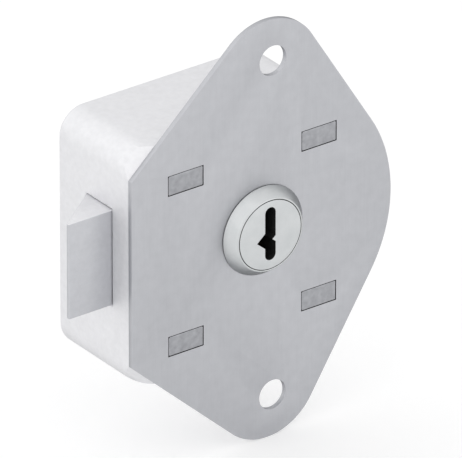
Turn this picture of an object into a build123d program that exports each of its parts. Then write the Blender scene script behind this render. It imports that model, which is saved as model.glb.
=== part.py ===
from build123d import *
from math import acos, atan2, cos, pi, radians, sin, sqrt
import os

# A locker lock: a slam latch in a die-cast case behind a plate, drawn back by a wafer key cylinder.
# All lengths are in millimetres. X runs to the right as seen from the front, Y back into the lock, Z up.
# The origin lies midway between the two screw holes, on the front face of the mounting plate.

os.makedirs("parts", exist_ok=True)

# Mounting plate
hole_spacing = 79.4
hole_radius = 3.45
plate_thickness = 1.2
backset = 36.6
left_corner_height = 22.0
tip_radius = 13.5
tip_setback = 3.7
tip_shift = 1.4
side_reach = 31.0
side_radius = 34.0

# Case and its lugs
case_width = 53.8
case_height = 56.4
case_corner_radius = 6.2
back_edge_radius = 0.8
wall = 1.6
lug_width = 9.0
lug_height = 4.6
lug_inset = 0.6
lug_column_pitch = 34.7
lug_clearance = 0.1
post_shoulder = 0.5
upper_post_gap = 0.3
lower_post_gap = 2.9
rail_height = 3.0
rail_width = 1.5
saddle_thickness = 1.5

# Cylinder, its plug and its nose
cylinder_x = -2.7
cylinder_z = 0.5
plug_radius = 7.1
running_clearance = 0.05
head_step = 0.95
head_thickness = 1.85
nose_height = 2.85
nose_rim = 0.3
nose_overhang = 1.75
shell_skin = 0.7
clip_groove_skin = 0.6
flat_skin = 0.85
keyway_width = 2.75
keyway_height = 12.5
keyway_rise = 0.3
keyway_end = 0.3
ward_drop = 1.45
ward_depth = 2.1
ward_height = 3.6
rib_depth = 0.86
rib_height = 1.4
tail_radius = 3.0
tail_flat = 2.2
tail_length = 0.8

# Wafers and their springs
wafer_pitch = 2.2
wafer_thickness = 1.0
wafer_width = 6.0
wafer_throw = 0.7
wafer_clearance = 0.08
passage_width = 3.2
passage_heights = (9.6, 9.0, 10.0, 9.3, 9.8)
wafer_count = len(passage_heights)
lug_reach = 1.9
lug_rise = 1.2
pocket_radius = 0.85
pocket_skin = 0.65
wafer_wire = 0.26
wafer_spring_turns = 5
first_land = 0.55
rear_land = 2.2
groove_lead = 0.5

# Horseshoe clip
clip_thickness = 1.1
clip_rim = 1.9
clip_drop = 7.6

# Cam, its screw and its drive pin
latch_travel = 10.0
key_turn = 90.0
cam_thickness = 2.0
cam_hub_radius = 5.0
cam_arm_width = 5.2
screw_recess = 0.9
stop_height = 1.5
stop_clearance = 0.1
drive_pin_radius = 1.5
pin_fit = 0.02
screw_radius = 1.5
screw_head_radius = 3.5
screw_grip = 1.8
screw_slot_width = 0.8
screw_slot_depth = 0.5

# Latch bolt
latch_reach = 11.2
latch_front = 7.1
latch_height = 22.5
latch_middle = 1.35
latch_tip = 0.7
latch_edge = 0.4
latch_clearance = 0.15
root_step = 1.6
root_width = 3.0
root_gap = 0.3
window_strip = 1.2
ear_setback = 1.5
tail_thickness = 1.5
tail_gap = 0.4
tail_web = 2.0
tail_lower_strip = 3.35
ear_width = 4.0
ear_overhang = 0.8

# Carriage
carriage_thickness = 1.8
carriage_gap = 0.3
flange_thickness = 1.5
flange_gap = 0.2
flange_tail = 3.9
pin_play = 0.3
pin_headroom = 0.4
bracket_thickness = 1.5
bracket_setback = 0.4
bracket_rim = 1.35
neck_half = 0.9
carriage_left_gap = 2.0

# Springs, rods and clips
latch_spring_radius = 2.0
latch_spring_wire = 0.45
latch_spring_turns = 9
latch_spring_packed = 7.0
spring_window_play = 0.15
spring_window_web = 2.45
spring_lift = 0.5
spring_rib_gap = 0.2
return_spring_radius = 2.1
return_spring_wire = 0.5
return_spring_turns = 8
rod_radius = 1.1
rod_clearance = 0.05
rod_gap = 1.4
rod_head_radius = 2.1
rod_head_thickness = 1.2
rod_head_gap = 0.1
rod_end_gap = 0.3
swing_gap = 0.25
e_clip_thickness = 0.6
e_clip_radius = 2.2
e_clip_room = 1.6
groove_depth = 0.3

# Places along Y, from the plate back to the rear wall of the case
groove_front = plate_thickness + running_clearance
clip_front = groove_front + running_clearance
groove_back = clip_front + clip_thickness + running_clearance
broach_front = groove_back + first_land
wafer_start = broach_front + groove_lead
last_wafer = wafer_start + wafer_thickness + (wafer_count - 1) * wafer_pitch
shell_back = last_wafer + rear_land
cam_front = shell_back + stop_clearance
cam_back = cam_front + cam_thickness
tail_front = cam_back + tail_gap
tail_back = tail_front + tail_thickness
carriage_front = tail_back + carriage_gap
carriage_back = carriage_front + carriage_thickness
rail_front = carriage_back + flange_gap
floor_front = rail_front + rail_height
case_back = floor_front + wall
flange_front = tail_front - flange_gap
latch_back = flange_front - root_step
rod_depth = tail_front - rod_gap - return_spring_radius
latch_spring_depth = (tail_back + carriage_front) / 2 + spring_lift
spring_rib_front = latch_spring_depth + latch_spring_radius + spring_rib_gap

# Places along X
case_left = -backset
case_right = case_left + case_width
inner_left = case_left + wall
inner_right = case_right - wall
lug_right_x = case_right - lug_inset - lug_width / 2
lug_left_x = lug_right_x - lug_column_pitch
root_left = inner_left + root_gap
root_right = root_left + root_width
window_left = root_right + window_strip
window_right = window_left + latch_travel + latch_spring_packed
ear_left = window_left + ear_setback
ear_right = ear_left + ear_width
drive_pin_x = cylinder_x - latch_travel / 2
slot_left = drive_pin_x - drive_pin_radius - pin_play
slot_right = drive_pin_x + drive_pin_radius + pin_play
carriage_left = root_left + carriage_left_gap
carriage_right = slot_right + tail_web
bracket_right = drive_pin_x - bracket_setback
bracket_left = bracket_right - bracket_thickness
saddle_right = inner_right - e_clip_room
saddle_left = saddle_right - saddle_thickness
rod_end = inner_right - rod_end_gap

# Radii about the cylinder's axis
bore_radius = plug_radius + running_clearance
groove_radius = bore_radius + wafer_throw + spring_window_play
shell_radius = groove_radius + shell_skin
shell_flat = bore_radius + flat_skin
plug_head_radius = plug_radius + head_step
nose_face_radius = plug_head_radius + running_clearance + nose_rim
nose_base_radius = shell_radius + nose_overhang
half_turn = radians(key_turn / 2)
drive_orbit = latch_travel / 2 / sin(half_turn)
cam_reach = drive_orbit + cam_arm_width / 2
drive_pin_z = cylinder_z + drive_orbit * cos(half_turn)

# Places along Z
bracket_radius = rod_radius + rod_clearance + bracket_rim
rod_offset = max(cam_reach, shell_radius) + swing_gap + bracket_radius
rod_heights = (cylinder_z + rod_offset, cylinder_z - rod_offset)
lug_top_z = rod_heights[0] + e_clip_radius + upper_post_gap + post_shoulder + lug_height / 2
lug_bottom_z = rod_heights[1] - e_clip_radius - lower_post_gap - post_shoulder - lug_height / 2
lug_places = [(x, z) for z in (lug_top_z, lug_bottom_z) for x in (lug_left_x, lug_right_x)]
pin_slot_bottom = drive_pin_z - drive_pin_radius - pin_headroom
pin_slot_top = cylinder_z + drive_orbit + drive_pin_radius + pin_headroom
window_half = latch_spring_radius + spring_window_play
spring_z = pin_slot_bottom - spring_window_web - window_half
tail_top = pin_slot_top + tail_web
tail_bottom = spring_z - window_half - tail_lower_strip
flange_top = tail_top + flange_gap
flange_bottom = tail_bottom - flange_gap
carriage_top = flange_top + flange_thickness
carriage_bottom = flange_bottom - flange_thickness
latch_top = latch_middle + latch_height / 2
latch_bottom = latch_middle - latch_height / 2

cylinder_axis = Axis((cylinder_x, 0, cylinder_z), (0, 1, 0))


def facing(depth):
    """The plane at a depth behind the plate's front face, its normal toward the viewer."""
    return Plane.XZ.offset(-depth)


def on_cylinder(depth):
    """The facing plane at a depth, with its origin on the cylinder's axis."""
    return Plane(origin=(cylinder_x, depth, cylinder_z), x_dir=(1, 0, 0), z_dir=(0, -1, 0))


def span(left, right, bottom, top):
    """A rectangle between two sides and two heights."""
    with Locations(((left + right) / 2, (bottom + top) / 2)):
        return Rectangle(right - left, top - bottom)


def touch_direction(centre, radius, other, other_radius, side):
    """The direction from a circle's centre to its touching point with an outer tangent of two circles."""
    between = other - centre
    bearing = atan2(between.Y, between.X) + side * acos((radius - other_radius) / between.length)
    return Vector(cos(bearing), sin(bearing))


def double_d(radius, flat, mode=Mode.ADD):
    """A disc with two flats, left and right."""
    with BuildSketch(mode=Mode.PRIVATE) as disc:
        Circle(radius)
        Rectangle(2 * flat, 2 * radius, mode=Mode.INTERSECT)
    return add(disc.sketch, mode=mode)


def half_turn_arcs(start, along, radius, length, turns):
    """A helix about the line from start, as two tangent arcs for each half turn."""
    frame = Plane(origin=start, z_dir=along)
    halves = 2 * turns
    rise = length / (pi * halves)

    def place(index):
        side = radius * (-1) ** index
        return frame.from_local_coords(Vector(side, 0, length * index / halves))

    def heading(index):
        local = Vector(0, radius * (-1) ** index, rise).normalized()
        return frame.from_local_coords(local) - frame.origin

    arcs = []
    for index in range(halves):
        first, last = place(index), place(index + 1)
        leaving, arriving = heading(index), heading(index + 1)
        chord = last - first
        both = leaving + arriving
        bend = 2 * (1 - leaving.dot(arriving))
        lean = chord.dot(both)
        handle = (sqrt(lean**2 + bend * chord.dot(chord)) - lean) / bend
        middle = (first + leaving * handle + last - arriving * handle) * 0.5
        arcs.append(TangentArc(first, middle, tangent=leaving))
        arcs.append(TangentArc(middle, last, tangent=arcs[-1] % 1))
    return arcs


def least_gap(middle_line, wire, turns):
    """The smallest gap between two turns of a coil, measured on points along the wire's middle."""
    per_turn = 12
    count = per_turn * turns
    points = [middle_line @ (index / count) for index in range(count + 1)]
    apart = 3 * per_turn // 4
    distances = [
        (later - earlier).length
        for index, earlier in enumerate(points)
        for later in points[index + apart:]
    ]
    return round(min(distances) - wire, 2)


def coil(label, start, along, outer_radius, wire, length, turns):
    """A compression spring of round wire between two seats, the wire's ends touching the seats."""
    direction = Vector(along)
    with BuildPart() as spring:
        with BuildLine() as path:
            half_turn_arcs(
                Vector(start) + direction * (wire / 2 + running_clearance),
                along,
                outer_radius - wire / 2,
                length - wire - 2 * running_clearance,
                turns,
            )
        with BuildSketch(Plane(origin=path.line @ 0, z_dir=path.line % 0)):
            Circle(wire / 2)
        sweep()
    print(label, "least gap between turns", least_gap(path.line, wire, turns))
    spring.part.label = label
    return spring.part


# The plate's corner, tip and side circles, and the directions in which its sloping edges touch them
plate_corner = Vector(-backset, left_corner_height)
tip_centre = Vector(-tip_shift, hole_spacing / 2 - tip_setback)
side_centre = Vector(side_reach - side_radius, 0)
left_touch = touch_direction(tip_centre, tip_radius, plate_corner, 0, -1)
right_touch = touch_direction(tip_centre, tip_radius, side_centre, side_radius, 1)

# Mounting plate: the outline runs from the left edge over the tip to the right side, and is mirrored
with BuildPart() as mounting_plate:
    with BuildSketch(facing(0)):
        with BuildLine():
            Line((-backset, 0), plate_corner)
            left_slope = Line(plate_corner, tip_centre + left_touch * tip_radius)
            right_start = tip_centre + right_touch * tip_radius
            right_slope = Line(right_start, side_centre + right_touch * side_radius)
            TangentArc(left_slope @ 1, right_slope @ 0, tangent=left_slope % 1)
            TangentArc(right_slope @ 1, (side_reach, 0), tangent=right_slope % 1)
            mirror(about=Plane.XZ)
        make_face()
    extrude(amount=-plate_thickness)
    with BuildSketch(facing(0)):
        with Locations((0, hole_spacing / 2), (0, -hole_spacing / 2)):
            Circle(hole_radius)
        with Locations(*lug_places):
            Rectangle(lug_width + 2 * lug_clearance, lug_height + 2 * lug_clearance)
        with Locations((cylinder_x, cylinder_z)):
            double_d(shell_radius + running_clearance, shell_flat + running_clearance)
    extrude(amount=-plate_thickness, mode=Mode.SUBTRACT)
mounting_plate.part.label = "mounting_plate"
export_step(mounting_plate.part, "parts/mounting_plate.step")

# Case: an open box with the latch's window in its left wall
with BuildPart() as case:
    case_middle_x = (case_left + case_right) / 2
    with BuildSketch(facing(plate_thickness)):
        with Locations((case_middle_x, 0)):
            RectangleRounded(case_width, case_height, case_corner_radius)
    extrude(amount=plate_thickness - case_back)
    fillet(case.faces().sort_by(Axis.Y)[-1].edges(), back_edge_radius)
    corner_size = 2 * case_corner_radius
    with BuildSketch(facing(plate_thickness)):
        with Locations((case_middle_x, 0)):
            RectangleRounded(case_width - 2 * wall, case_height - 2 * wall, case_corner_radius - wall)

        # The left corners stay solid where the plate's sloping edges would uncover the hollow
        web_middle = plate_corner + left_touch * (corner_size - wall)
        web_turn = left_touch.get_signed_angle(Vector(1, 0), Vector(0, 0, -1))
        with Locations(Location(web_middle, web_turn)):
            Rectangle(2 * corner_size, 2 * corner_size, mode=Mode.SUBTRACT)
        with Locations(Location((web_middle.X, -web_middle.Y), -web_turn)):
            Rectangle(2 * corner_size, 2 * corner_size, mode=Mode.SUBTRACT)
    extrude(amount=plate_thickness - floor_front, mode=Mode.SUBTRACT)

    # Their front edges are beveled back from the plate's sloping edges
    for side in (1, -1):
        bevel_plane = Plane(
            origin=(plate_corner.X, plate_thickness, side * plate_corner.Y),
            x_dir=(left_touch.X, 0, side * left_touch.Y),
            z_dir=(side * left_touch.Y, 0, -left_touch.X),
        )
        with BuildSketch(bevel_plane):
            with BuildLine():
                Polyline((0, 0), (corner_size, 0), (corner_size, -corner_size), close=True)
            make_face()
        extrude(amount=corner_size, both=True, mode=Mode.SUBTRACT)

    # Four posts rise from the floor, the right pair along the right wall, and end in lugs flush with
    # the plate
    with BuildSketch(facing(plate_thickness)):
        for post_x, post_z in lug_places:
            post_left = post_x - lug_width / 2 - post_shoulder
            post_right = post_x + lug_width / 2 + post_shoulder
            span(
                post_left,
                min(post_right, case_right - wall / 2),
                post_z - lug_height / 2 - post_shoulder,
                post_z + lug_height / 2 + post_shoulder,
            )
    extrude(amount=plate_thickness - floor_front)
    with BuildSketch(facing(0)):
        with Locations(*lug_places):
            Rectangle(lug_width, lug_height)
    extrude(amount=-plate_thickness)

    # Shelves above and below the latch guide it behind its window
    shelf_top = latch_top + latch_clearance
    shelf_bottom = latch_bottom - latch_clearance
    with BuildSketch(facing(latch_front)):
        span(inner_left, root_right, shelf_top, shelf_top + wall)
        span(inner_left, root_right, shelf_bottom - wall, shelf_bottom)
    extrude(amount=latch_front - latch_back)
    with BuildSketch(facing(latch_front - latch_clearance)):
        span(case_left, inner_left, shelf_bottom, shelf_top)
    extrude(amount=latch_front - latch_back - 2 * latch_clearance, mode=Mode.SUBTRACT)

    # Two rails on the floor carry the carriage, and a rib between them backs the latch spring
    with BuildSketch(facing(rail_front)):
        rail_right = carriage_right + latch_travel
        span(carriage_left, rail_right, flange_top - rail_width, flange_top)
        span(carriage_left, rail_right, flange_bottom, flange_bottom + rail_width)
    extrude(amount=-rail_height)
    with BuildSketch(facing(spring_rib_front)):
        span(carriage_left, rail_right, spring_z - rail_width / 2, spring_z + rail_width / 2)
    extrude(amount=spring_rib_front - floor_front)

    # The saddle wall stands between the right posts, with a slot for each guide rod
    with BuildSketch(facing(rod_depth - bracket_radius)):
        saddle_bottom = lug_bottom_z + lug_height / 2
        saddle_top = lug_top_z - lug_height / 2
        span(saddle_left, saddle_right, saddle_bottom, saddle_top)
    extrude(amount=rod_depth - bracket_radius - floor_front)
    slot_radius = rod_radius + rod_clearance
    with BuildSketch(Plane.YZ.offset(saddle_left)):
        for rod_z in rod_heights:
            with Locations((rod_depth, rod_z)):
                Circle(slot_radius)
            span(rod_depth - bracket_radius, rod_depth, rod_z - slot_radius, rod_z + slot_radius)
    extrude(amount=saddle_thickness, mode=Mode.SUBTRACT)
case.part.label = "case"
export_step(case.part, "parts/case.step")

# Cylinder shell: conical nose, barrel with two flats, and a stop wall behind
with BuildPart() as cylinder_shell:
    with BuildSketch(Plane(origin=(cylinder_x, 0, cylinder_z), x_dir=(1, 0, 0), z_dir=(0, 0, 1))):
        with BuildLine():
            Polyline(
                (plug_head_radius + running_clearance, -nose_height),
                (nose_face_radius, -nose_height),
                (nose_base_radius, 0),
                (shell_radius, 0),
                (shell_radius, shell_back),
                (bore_radius, shell_back),
                (bore_radius, head_thickness + running_clearance - nose_height),
                (plug_head_radius + running_clearance, head_thickness + running_clearance - nose_height),
                close=True,
            )
        make_face()
    revolve(axis=cylinder_axis)

    # The stop wall leaves room for the cam's arm between its two limits
    with BuildSketch(on_cylinder(shell_back)):
        Circle(shell_radius)
        Circle(bore_radius, mode=Mode.SUBTRACT)
        apex = -(cam_arm_width / 2 + stop_clearance) / sin(half_turn)
        opening = 2 * shell_radius
        with BuildLine():
            Polyline(
                (0, apex),
                (opening * sin(half_turn), apex + opening * cos(half_turn)),
                (0, apex + 2 * opening),
                (-opening * sin(half_turn), apex + opening * cos(half_turn)),
                close=True,
            )
        make_face(mode=Mode.SUBTRACT)
    extrude(amount=-stop_height)

    # Flats on the barrel, broached grooves for the wafers, and the clip's groove
    with BuildSketch(on_cylinder(0)):
        Circle(shell_radius)
        Rectangle(2 * shell_flat, 2 * shell_radius, mode=Mode.SUBTRACT)
    extrude(amount=-(shell_back + stop_height), mode=Mode.SUBTRACT)
    with BuildSketch(on_cylinder(broach_front)):
        Circle(groove_radius)
        Circle(bore_radius, mode=Mode.SUBTRACT)
        Rectangle(wafer_width + 4 * wafer_clearance, 2 * groove_radius, mode=Mode.INTERSECT)
    extrude(amount=broach_front - shell_back, mode=Mode.SUBTRACT)
    with BuildSketch(on_cylinder(groove_front)):
        Circle(shell_radius)
        Circle(bore_radius + clip_groove_skin, mode=Mode.SUBTRACT)
    extrude(amount=groove_front - groove_back, mode=Mode.SUBTRACT)
cylinder_shell.part.label = "cylinder_shell"
export_step(cylinder_shell.part, "parts/cylinder_shell.step")

# Horseshoe clip: slides into the shell's groove from above and holds the nose against the plate
with BuildPart() as shell_clip:
    with BuildSketch(on_cylinder(clip_front)):
        clip_inner = bore_radius + clip_groove_skin + running_clearance
        clip_outer = shell_radius + clip_rim
        Circle(clip_outer)
        Circle(clip_inner, mode=Mode.SUBTRACT)
        with Locations((0, -clip_outer / 2)):
            Rectangle(2 * clip_inner, clip_outer, mode=Mode.SUBTRACT)
        with Locations((0, -clip_drop - clip_outer / 2)):
            Rectangle(2 * clip_outer, clip_outer, mode=Mode.SUBTRACT)
    extrude(amount=-clip_thickness)
shell_clip.part.label = "shell_clip"
export_step(shell_clip.part, "parts/shell_clip.step")

# Plug: head, core with the warded keyway, and a flatted tail for the cam
face_depth = -nose_height
core_front = face_depth + head_thickness
wafer_depths = [wafer_start + wafer_thickness / 2 + index * wafer_pitch for index in range(wafer_count)]
slot_half = wafer_width / 2 + wafer_clearance
slot_thickness = wafer_thickness + 2 * wafer_clearance
pocket_x = slot_half + 2 * wafer_clearance + pocket_radius
pocket_far = pocket_x + pocket_radius
pocket_floor = pocket_skin - sqrt(plug_radius**2 - pocket_far**2)
with BuildPart() as plug:
    with BuildSketch(on_cylinder(face_depth)):
        Circle(plug_head_radius)
    extrude(amount=-head_thickness)
    with BuildSketch(on_cylinder(core_front)):
        Circle(plug_radius)
    extrude(amount=core_front - cam_front)
    with BuildSketch(on_cylinder(cam_front)):
        double_d(tail_radius, tail_flat)
    extrude(amount=-tail_length)

    with BuildSketch(on_cylinder(face_depth)):
        with Locations((0, keyway_rise)):
            SlotOverall(keyway_height, keyway_width, rotation=90)
        ward_z = keyway_rise - ward_drop
        keyway_side = keyway_width / 2
        with BuildLine():
            Polyline(
                (0, ward_z + ward_height / 2),
                (-keyway_side, ward_z + ward_height / 2),
                (-keyway_side - ward_depth, ward_z),
                (-keyway_side, ward_z - ward_height / 2),
                (0, ward_z - ward_height / 2),
                close=True,
            )
        make_face()
        with BuildLine():
            Polyline(
                (keyway_side, ward_z + rib_height / 2),
                (keyway_side - rib_depth, ward_z),
                (keyway_side, ward_z - rib_height / 2),
                close=True,
            )
        make_face(mode=Mode.SUBTRACT)
    extrude(amount=face_depth - last_wafer - keyway_end, mode=Mode.SUBTRACT)

    # Each wafer has a slot across the core and a pocket for its spring, open above
    for wafer_y in wafer_depths:
        with BuildSketch(on_cylinder(wafer_y - slot_thickness / 2)):
            Rectangle(2 * slot_half, 2 * plug_radius)
            span(0, slot_half + lug_reach, -wafer_clearance, plug_radius)
        extrude(amount=-slot_thickness, mode=Mode.SUBTRACT)
        with BuildSketch(Plane.XY.offset(cylinder_z + pocket_floor)):
            with Locations((cylinder_x + pocket_x, wafer_y)):
                Circle(pocket_radius)
        extrude(amount=plug_radius - pocket_floor, mode=Mode.SUBTRACT)
    with BuildSketch(on_cylinder(cam_front + tail_length)):
        Circle(screw_radius + pin_fit)
    extrude(amount=tail_length + screw_grip, mode=Mode.SUBTRACT)
plug.part.label = "plug"
export_step(plug.part, "parts/plug.step")

# Wafers: thin tumblers with the key's passage and a side lug that rests on a spring
wafer_radius = plug_radius - running_clearance
for number, (wafer_y, passage_height) in enumerate(zip(wafer_depths, passage_heights), start=1):
    with BuildPart() as wafer:
        with BuildSketch(on_cylinder(wafer_y - wafer_thickness / 2)):
            Circle(wafer_radius)
            Rectangle(wafer_width, 2 * wafer_radius, mode=Mode.INTERSECT)
            span(0, wafer_width / 2 + lug_reach, 0, lug_rise)
            Rectangle(passage_width, passage_height, mode=Mode.SUBTRACT)
        extrude(amount=-wafer_thickness)
    wafer.part.label = f"wafer_{number}"
    export_step(wafer.part, f"parts/wafer_{number}.step")

    wafer_spring = coil(
        f"wafer_spring_{number}",
        (cylinder_x + pocket_x, wafer_y, cylinder_z + pocket_floor),
        (0, 0, 1),
        pocket_radius - running_clearance,
        wafer_wire,
        -pocket_floor,
        wafer_spring_turns,
    )
    export_step(wafer_spring, f"parts/wafer_spring_{number}.step")

# Cam: a hub on the plug's tail and an arm out to the drive pin
drive_pin_offset = (drive_pin_x - cylinder_x, drive_pin_z - cylinder_z)
with BuildPart() as cam:
    with BuildSketch(on_cylinder(cam_front)):
        Circle(cam_hub_radius)
        SlotCenterPoint(
            (drive_pin_offset[0] / 2, drive_pin_offset[1] / 2), drive_pin_offset, cam_arm_width
        )
        double_d(tail_radius + running_clearance, tail_flat + running_clearance, mode=Mode.SUBTRACT)
        with Locations(drive_pin_offset):
            Circle(drive_pin_radius + pin_fit, mode=Mode.SUBTRACT)
    extrude(amount=-cam_thickness)
    with BuildSketch(on_cylinder(cam_back)):
        Circle(screw_head_radius + stop_clearance)
    extrude(amount=screw_recess, mode=Mode.SUBTRACT)
cam.part.label = "cam"
export_step(cam.part, "parts/cam.step")

# Drive pin: pressed into the cam's arm, it passes through the slots of the latch's tail and the carriage
with BuildPart() as drive_pin:
    with BuildSketch(on_cylinder(cam_front)):
        with Locations(drive_pin_offset):
            Circle(drive_pin_radius)
    extrude(amount=cam_front - carriage_back - carriage_gap)
drive_pin.part.label = "drive_pin"
export_step(drive_pin.part, "parts/drive_pin.step")

# Cam screw: a cross-slotted head let into the cam, and a plain shank
with BuildPart() as cam_screw:
    with BuildSketch(on_cylinder(cam_back - running_clearance)):
        Circle(screw_head_radius)
    extrude(amount=screw_recess - running_clearance)
    with BuildSketch(on_cylinder(cam_back - screw_recess)):
        Circle(screw_radius)
    extrude(amount=cam_back - screw_recess - cam_front + screw_grip - running_clearance)
    with BuildSketch(on_cylinder(cam_back - running_clearance)):
        Rectangle(2 * screw_head_radius, screw_slot_width)
        Rectangle(screw_slot_width, 2 * screw_head_radius)
    extrude(amount=screw_slot_depth, mode=Mode.SUBTRACT)
cam_screw.part.label = "cam_screw"
export_step(cam_screw.part, "parts/cam_screw.step")

# Latch bolt: a beveled head, a root inside the case wall and a flat tail along the carriage
with BuildPart() as latch_bolt:
    with BuildSketch(Plane.XY.offset(latch_bottom)):
        with BuildLine():
            tip_x = case_left - latch_reach
            Polyline(
                (root_right, latch_front),
                (tip_x, latch_front),
                (tip_x, latch_front + latch_tip),
                (case_left - latch_clearance, latch_back),
                (root_right, latch_back),
                close=True,
            )
        make_face()
    extrude(amount=latch_height)
    tip_edges = latch_bolt.edges().filter_by(Axis.Z).group_by(Axis.X)[0]
    fillet(tip_edges, min(latch_edge, latch_tip / 3))
    with BuildSketch(facing(latch_back)):
        span(root_left, root_right, tail_bottom, tail_top)
    extrude(amount=latch_back - tail_back)
    with BuildSketch(facing(tail_front)):
        opening_left = drive_pin_x - drive_pin_radius - pin_headroom - latch_travel
        opening_right = drive_pin_x + drive_pin_radius + pin_headroom
        span(root_left, opening_right + tail_web, tail_bottom, tail_top)
        span(ear_left, ear_right, carriage_bottom - ear_overhang, carriage_top + ear_overhang)
    extrude(amount=-tail_thickness)
    with BuildSketch(facing(tail_front)):
        span(opening_left, opening_right, pin_slot_bottom, pin_slot_top)
        span(window_left, window_right, spring_z - window_half, spring_z + window_half)
    extrude(amount=-tail_thickness, mode=Mode.SUBTRACT)
latch_bolt.part.label = "latch_bolt"
export_step(latch_bolt.part, "parts/latch_bolt.step")

# Carriage: a plate behind the latch's tail, flanges above and below that guide the tail, and a bracket
# on each rod
with BuildPart() as carriage:
    with BuildSketch(facing(carriage_front)):
        span(carriage_left, carriage_right, carriage_bottom, carriage_top)
    extrude(amount=-carriage_thickness)
    with BuildSketch(facing(flange_front)):
        notch_left = ear_left - running_clearance
        notch_right = ear_right + latch_travel + stop_clearance
        for low, high in ((carriage_bottom, flange_bottom), (flange_top, carriage_top)):
            span(carriage_left, notch_left, low, high)
            span(notch_right, notch_right + flange_tail, low, high)
    extrude(amount=flange_front - carriage_front)
    upper_foot = (carriage_top - flange_thickness / 2, rod_heights[0])
    lower_foot = (rod_heights[1], carriage_bottom + flange_thickness / 2)
    for rod_z, foot in zip(rod_heights, (upper_foot, lower_foot)):
        with BuildSketch(Plane.YZ.offset(bracket_left)):
            with Locations((rod_depth, rod_z)):
                Circle(bracket_radius)
            span(rod_depth, carriage_back, rod_z - neck_half, rod_z + neck_half)
            span(flange_front, carriage_back, *foot)
        extrude(amount=bracket_thickness)
        with BuildSketch(Plane.YZ.offset(bracket_left)):
            with Locations((rod_depth, rod_z)):
                Circle(rod_radius + rod_clearance)
        extrude(amount=bracket_thickness, mode=Mode.SUBTRACT)
    with BuildSketch(facing(carriage_front)):
        span(slot_left, slot_right, pin_slot_bottom, pin_slot_top)
        span(window_left, window_right, spring_z - window_half, spring_z + window_half)
    extrude(amount=-carriage_thickness, mode=Mode.SUBTRACT)
carriage.part.label = "carriage"
export_step(carriage.part, "parts/carriage.step")

# Latch spring: lies in the window that the tail and the carriage share
latch_spring = coil(
    "latch_spring",
    (window_left, latch_spring_depth, spring_z),
    (1, 0, 0),
    latch_spring_radius,
    latch_spring_wire,
    window_right - window_left,
    latch_spring_turns,
)
export_step(latch_spring, "parts/latch_spring.step")

# Guide rods, their return springs and their clips
rod_left = bracket_left - rod_head_gap
clip_left = saddle_right + running_clearance
for name, rod_z in zip(("upper", "lower"), rod_heights):
    with BuildPart() as guide_rod:
        with BuildSketch(Plane(origin=(rod_left, rod_depth, rod_z), z_dir=(1, 0, 0))):
            Circle(rod_radius)
        extrude(amount=rod_end - rod_left)
        with BuildSketch(Plane(origin=(rod_left, rod_depth, rod_z), z_dir=(1, 0, 0))):
            Circle(rod_head_radius)
        extrude(amount=-rod_head_thickness)
        with BuildSketch(Plane(origin=(clip_left - pin_fit, rod_depth, rod_z), z_dir=(1, 0, 0))):
            Circle(rod_radius)
            Circle(rod_radius - groove_depth, mode=Mode.SUBTRACT)
        extrude(amount=e_clip_thickness + 2 * pin_fit, mode=Mode.SUBTRACT)
    guide_rod.part.label = f"guide_rod_{name}"
    export_step(guide_rod.part, f"parts/guide_rod_{name}.step")

    return_spring = coil(
        f"return_spring_{name}",
        (bracket_right, rod_depth, rod_z),
        (1, 0, 0),
        return_spring_radius,
        return_spring_wire,
        saddle_left - bracket_right,
        return_spring_turns,
    )
    export_step(return_spring, f"parts/return_spring_{name}.step")

with BuildPart() as rod_clips:
    for rod_z in rod_heights:
        with BuildSketch(Plane(origin=(clip_left, rod_depth, rod_z), x_dir=(0, 1, 0), z_dir=(1, 0, 0))):
            Circle(e_clip_radius)
            Circle(rod_radius - groove_depth + pin_fit, mode=Mode.SUBTRACT)
            with Locations((-e_clip_radius / 2, 0)):
                Rectangle(e_clip_radius, 2 * (rod_radius - groove_depth), mode=Mode.SUBTRACT)
    extrude(amount=e_clip_thickness)
rod_clips.part.label = "rod_clips"
export_step(rod_clips.part, "parts/rod_clips.step")
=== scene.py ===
"""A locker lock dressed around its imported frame: plate, case, key cylinder, slam latch and works."""

import math
from collections import namedtuple

import bmesh
import bpy
from mathutils import Matrix, Vector


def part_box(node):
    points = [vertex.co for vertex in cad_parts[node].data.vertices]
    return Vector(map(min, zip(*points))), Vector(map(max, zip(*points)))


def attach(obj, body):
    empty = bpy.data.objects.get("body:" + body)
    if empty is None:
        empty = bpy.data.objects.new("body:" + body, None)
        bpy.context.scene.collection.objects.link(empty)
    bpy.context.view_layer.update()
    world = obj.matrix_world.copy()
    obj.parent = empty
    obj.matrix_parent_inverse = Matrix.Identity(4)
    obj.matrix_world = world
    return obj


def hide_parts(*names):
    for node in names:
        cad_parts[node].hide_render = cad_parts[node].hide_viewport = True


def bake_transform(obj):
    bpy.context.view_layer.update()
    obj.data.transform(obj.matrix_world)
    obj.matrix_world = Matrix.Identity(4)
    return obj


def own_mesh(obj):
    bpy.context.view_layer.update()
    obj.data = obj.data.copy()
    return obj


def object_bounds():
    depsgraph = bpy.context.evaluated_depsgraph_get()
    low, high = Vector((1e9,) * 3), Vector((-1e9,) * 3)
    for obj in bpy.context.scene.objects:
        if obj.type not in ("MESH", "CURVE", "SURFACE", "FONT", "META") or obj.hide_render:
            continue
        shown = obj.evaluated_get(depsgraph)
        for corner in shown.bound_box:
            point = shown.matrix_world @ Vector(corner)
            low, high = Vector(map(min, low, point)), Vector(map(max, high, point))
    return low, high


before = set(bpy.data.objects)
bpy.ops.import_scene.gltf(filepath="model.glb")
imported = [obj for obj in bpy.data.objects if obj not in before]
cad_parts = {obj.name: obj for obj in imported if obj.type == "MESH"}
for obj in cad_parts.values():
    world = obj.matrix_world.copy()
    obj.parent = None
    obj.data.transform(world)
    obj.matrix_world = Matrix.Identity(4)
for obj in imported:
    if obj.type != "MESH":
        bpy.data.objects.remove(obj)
cad_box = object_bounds()

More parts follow.
